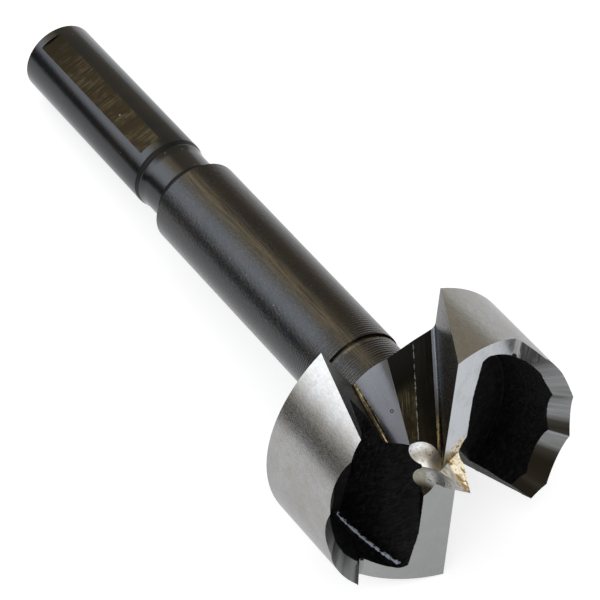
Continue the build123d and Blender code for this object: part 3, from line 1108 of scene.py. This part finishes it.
def stage_piece(name, bm, material):
    """A piece of the studio, which is no part of the bit."""
    mesh = bpy.data.meshes.new(name)
    bm.to_mesh(mesh)
    bm.free()
    mesh.materials.append(material)
    piece = bpy.data.objects.new(name, mesh)
    STUDIO.objects.link(piece)
    return piece


def only_reflected(piece):
    piece.visible_camera = False
    piece.visible_diffuse = False
    piece.visible_shadow = False
    piece.visible_transmission = False
    piece.visible_volume_scatter = False


def lit_from(azimuth, elevation, distance):
    """Place at a distance from the origin, and the turn that looks back at it."""
    level_part = math.cos(math.radians(elevation))
    way = heading(azimuth) * level_part + Vector((0, 0, math.sin(math.radians(elevation))))
    return way * distance, (-way).to_track_quat("-Z", "Y")


def border_fade(tree, side, edge, softness):
    """Nought at one edge of a card, and one from a distance of its softness inward."""
    fade = tree.nodes.new("ShaderNodeMapRange")
    fade.interpolation_type = "SMOOTHSTEP"
    fade.inputs["From Min"].default_value = abs(edge - softness)
    fade.inputs["From Max"].default_value = edge
    fade.inputs["To Min"].default_value = 1.0
    fade.inputs["To Max"].default_value = 0.0
    tree.links.new(side, fade.inputs["Value"])
    return fade.outputs[0]


def soft_glow(name, color, strength, softness):
    """A glow that fades out towards its card's borders and lets light through there."""
    material = emission_material(name, color, strength)
    tree = material.node_tree
    glow = tree.nodes["Emission"]
    spread = tree.nodes.new("ShaderNodeSeparateXYZ")
    tree.links.new(tree.nodes.new("ShaderNodeUVMap").outputs[0], spread.inputs[0])
    shine = strength
    for side in spread.outputs[:2]:
        for edge in (0.0, 1.0):
            shine = tree_math(tree, "MULTIPLY", border_fade(tree, side, edge, softness), shine)
    tree.links.new(shine, glow.inputs["Strength"])
    both = tree.nodes.new("ShaderNodeAddShader")
    clear = tree.nodes.new("ShaderNodeBsdfTransparent")
    tree.links.new(glow.outputs[0], both.inputs[0])
    tree.links.new(clear.outputs[0], both.inputs[1])
    tree.links.new(both.outputs[0], tree.nodes["Material Output"].inputs["Surface"])
    return material


def card(name, azimuth, elevation, width, height, color, strength, distance=1.4, softness=0.0):
    """A flat panel that only shines in the steel's reflections, its size in degrees."""
    bm = bmesh.new()
    place, turn = lit_from(azimuth, elevation, distance)
    half = math.radians(width / 2), math.radians(height / 2)
    wide, tall = (math.tan(angle) * distance for angle in half)
    corners = ((-1, -1), (1, -1), (1, 1), (-1, 1))
    points = [turn @ Vector((u * wide, v * tall, 0)) + place for u, v in corners]
    face = bm.faces.new([bm.verts.new(point) for point in points])
    layer = bm.loops.layers.uv.new("UVMap")
    for loop, (u, v) in zip(face.loops, corners):
        loop[layer].uv = ((u + 1) / 2, (v + 1) / 2)
    if softness:
        look = soft_glow(name, color, strength, softness)
    else:
        look = emission_material(name, color, strength)
    only_reflected(stage_piece(name, bm, look))


def softbox(name, azimuth, elevation, size, radiance, color, distance, seen=True):
    """A rectangular lamp turned to the origin, its size in metres, seen or not in reflections."""
    lamp = bpy.data.lights.new(name, "AREA")
    lamp.shape = "RECTANGLE"
    lamp.size, lamp.size_y = size
    lamp.energy = radiance * math.pi * size[0] * size[1]
    lamp.color = color
    place, turn = lit_from(azimuth, elevation, distance)
    holder = bpy.data.objects.new(name, lamp)
    holder.location = place
    holder.rotation_euler = turn.to_euler()
    holder.visible_glossy = seen
    STUDIO.objects.link(holder)


def seen_directly(tree):
    """One for rays from the camera, a reflection or a transmission."""
    path = tree.nodes.new("ShaderNodeLightPath")
    total = path.outputs["Is Camera Ray"]
    for name in ("Is Glossy Ray", "Is Transmission Ray"):
        total = tree_math(tree, "MAXIMUM", total, path.outputs[name])
    return total


def build_floor():
    bm = bmesh.new()
    bmesh.ops.create_grid(bm, x_segments=8, y_segments=8, size=FLOOR_SIZE)
    material = bpy.data.materials.new("floor")
    material.use_nodes = True
    tree = material.node_tree
    shader = tree.nodes["Principled BSDF"]
    shader.inputs["Base Color"].default_value = (*grey(FLOOR_ALBEDO), 1.0)
    shader.inputs["Roughness"].default_value = FLOOR_ROUGHNESS
    shader.inputs["Specular IOR Level"].default_value = 0.0
    shader.inputs["Emission Color"].default_value = WHITE
    glow = tree_math(tree, "MULTIPLY", seen_directly(tree), FLOOR_GLOW)
    tree.links.new(glow, shader.inputs["Emission Strength"])
    material.cycles.emission_sampling = "NONE"
    stage_piece("floor", bm, material)


def build_world():
    """White where it is seen or reflected, and a softer light on everything else."""
    world = bpy.data.worlds.new("studio")
    bpy.context.scene.world = world
    world.use_nodes = True
    tree = world.node_tree
    light = tree.nodes["Background"]
    light.inputs["Color"].default_value = WHITE
    light.inputs["Strength"].default_value = WORLD_LEVEL
    white = tree.nodes.new("ShaderNodeBackground")
    white.inputs["Color"].default_value = WHITE
    white.inputs["Strength"].default_value = 1.0
    choice = tree.nodes.new("ShaderNodeMixShader")
    tree.links.new(seen_directly(tree), choice.inputs[0])
    tree.links.new(light.outputs[0], choice.inputs[1])
    tree.links.new(white.outputs[0], choice.inputs[2])
    tree.links.new(choice.outputs[0], tree.nodes["World Output"].inputs["Surface"])


def build_room():
    """Dim warm room round the table with cards in it, seen only in reflections, and two lamps."""
    bm = bmesh.new()
    bmesh.ops.create_uvsphere(bm, u_segments=32, v_segments=16, radius=ROOM_RADIUS)
    below = [face for face in bm.faces if face.calc_center_median().z < 0.0]
    bmesh.ops.delete(bm, geom=below, context="FACES")
    only_reflected(stage_piece("room", bm, emission_material("room", ROOM_COLOR, 1.0)))
    card(
        "dark_gap", azimuth=-132.0, elevation=0.0, width=110.0, height=34.0,
        color=(1.0, 1.0, 0.95), strength=0.08, distance=0.16,
    )
    card(
        "warm_edge", azimuth=-178.0, elevation=46.0, width=40.0, height=34.0,
        color=(1.0, 0.84, 0.58), strength=1.5, softness=0.4,
    )
    card(
        "window_glow", azimuth=-139.0, elevation=37.0, width=62.0, height=52.0,
        color=(0.87, 0.92, 1.0), strength=3.2, distance=1.3, softness=0.38,
    )
    softbox(
        "window", azimuth=-139.0, elevation=30.0, size=(0.85, 0.75), radiance=2.3,
        color=(0.90, 0.93, 1.0), distance=1.3, seen=False,
    )
    softbox(
        "overhead", azimuth=-30.0, elevation=80.0, size=(1.0, 1.0), radiance=1.05,
        color=(0.97, 0.98, 1.0), distance=1.2,
    )


def build_camera():
    data = bpy.data.cameras.new("camera")
    data.lens = CAMERA_LENS
    data.sensor_width = SENSOR
    data.clip_start = 0.01
    data.clip_end = 20.0
    camera = bpy.data.objects.new("camera", data)
    camera.location = CAMERA_PLACE
    camera.rotation_euler = [math.radians(angle) for angle in CAMERA_TURN]
    bpy.context.scene.collection.objects.link(camera)
    bpy.context.scene.camera = camera
    bpy.context.scene.view_settings.view_transform = "Standard"


bit = build_bit()
looks = finishes()
for region_name in REGIONS:
    bit.data.materials.append(looks[region_name])
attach(bit, "root")
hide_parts("boring_bit")
build_world()
build_floor()
build_room()
build_camera()
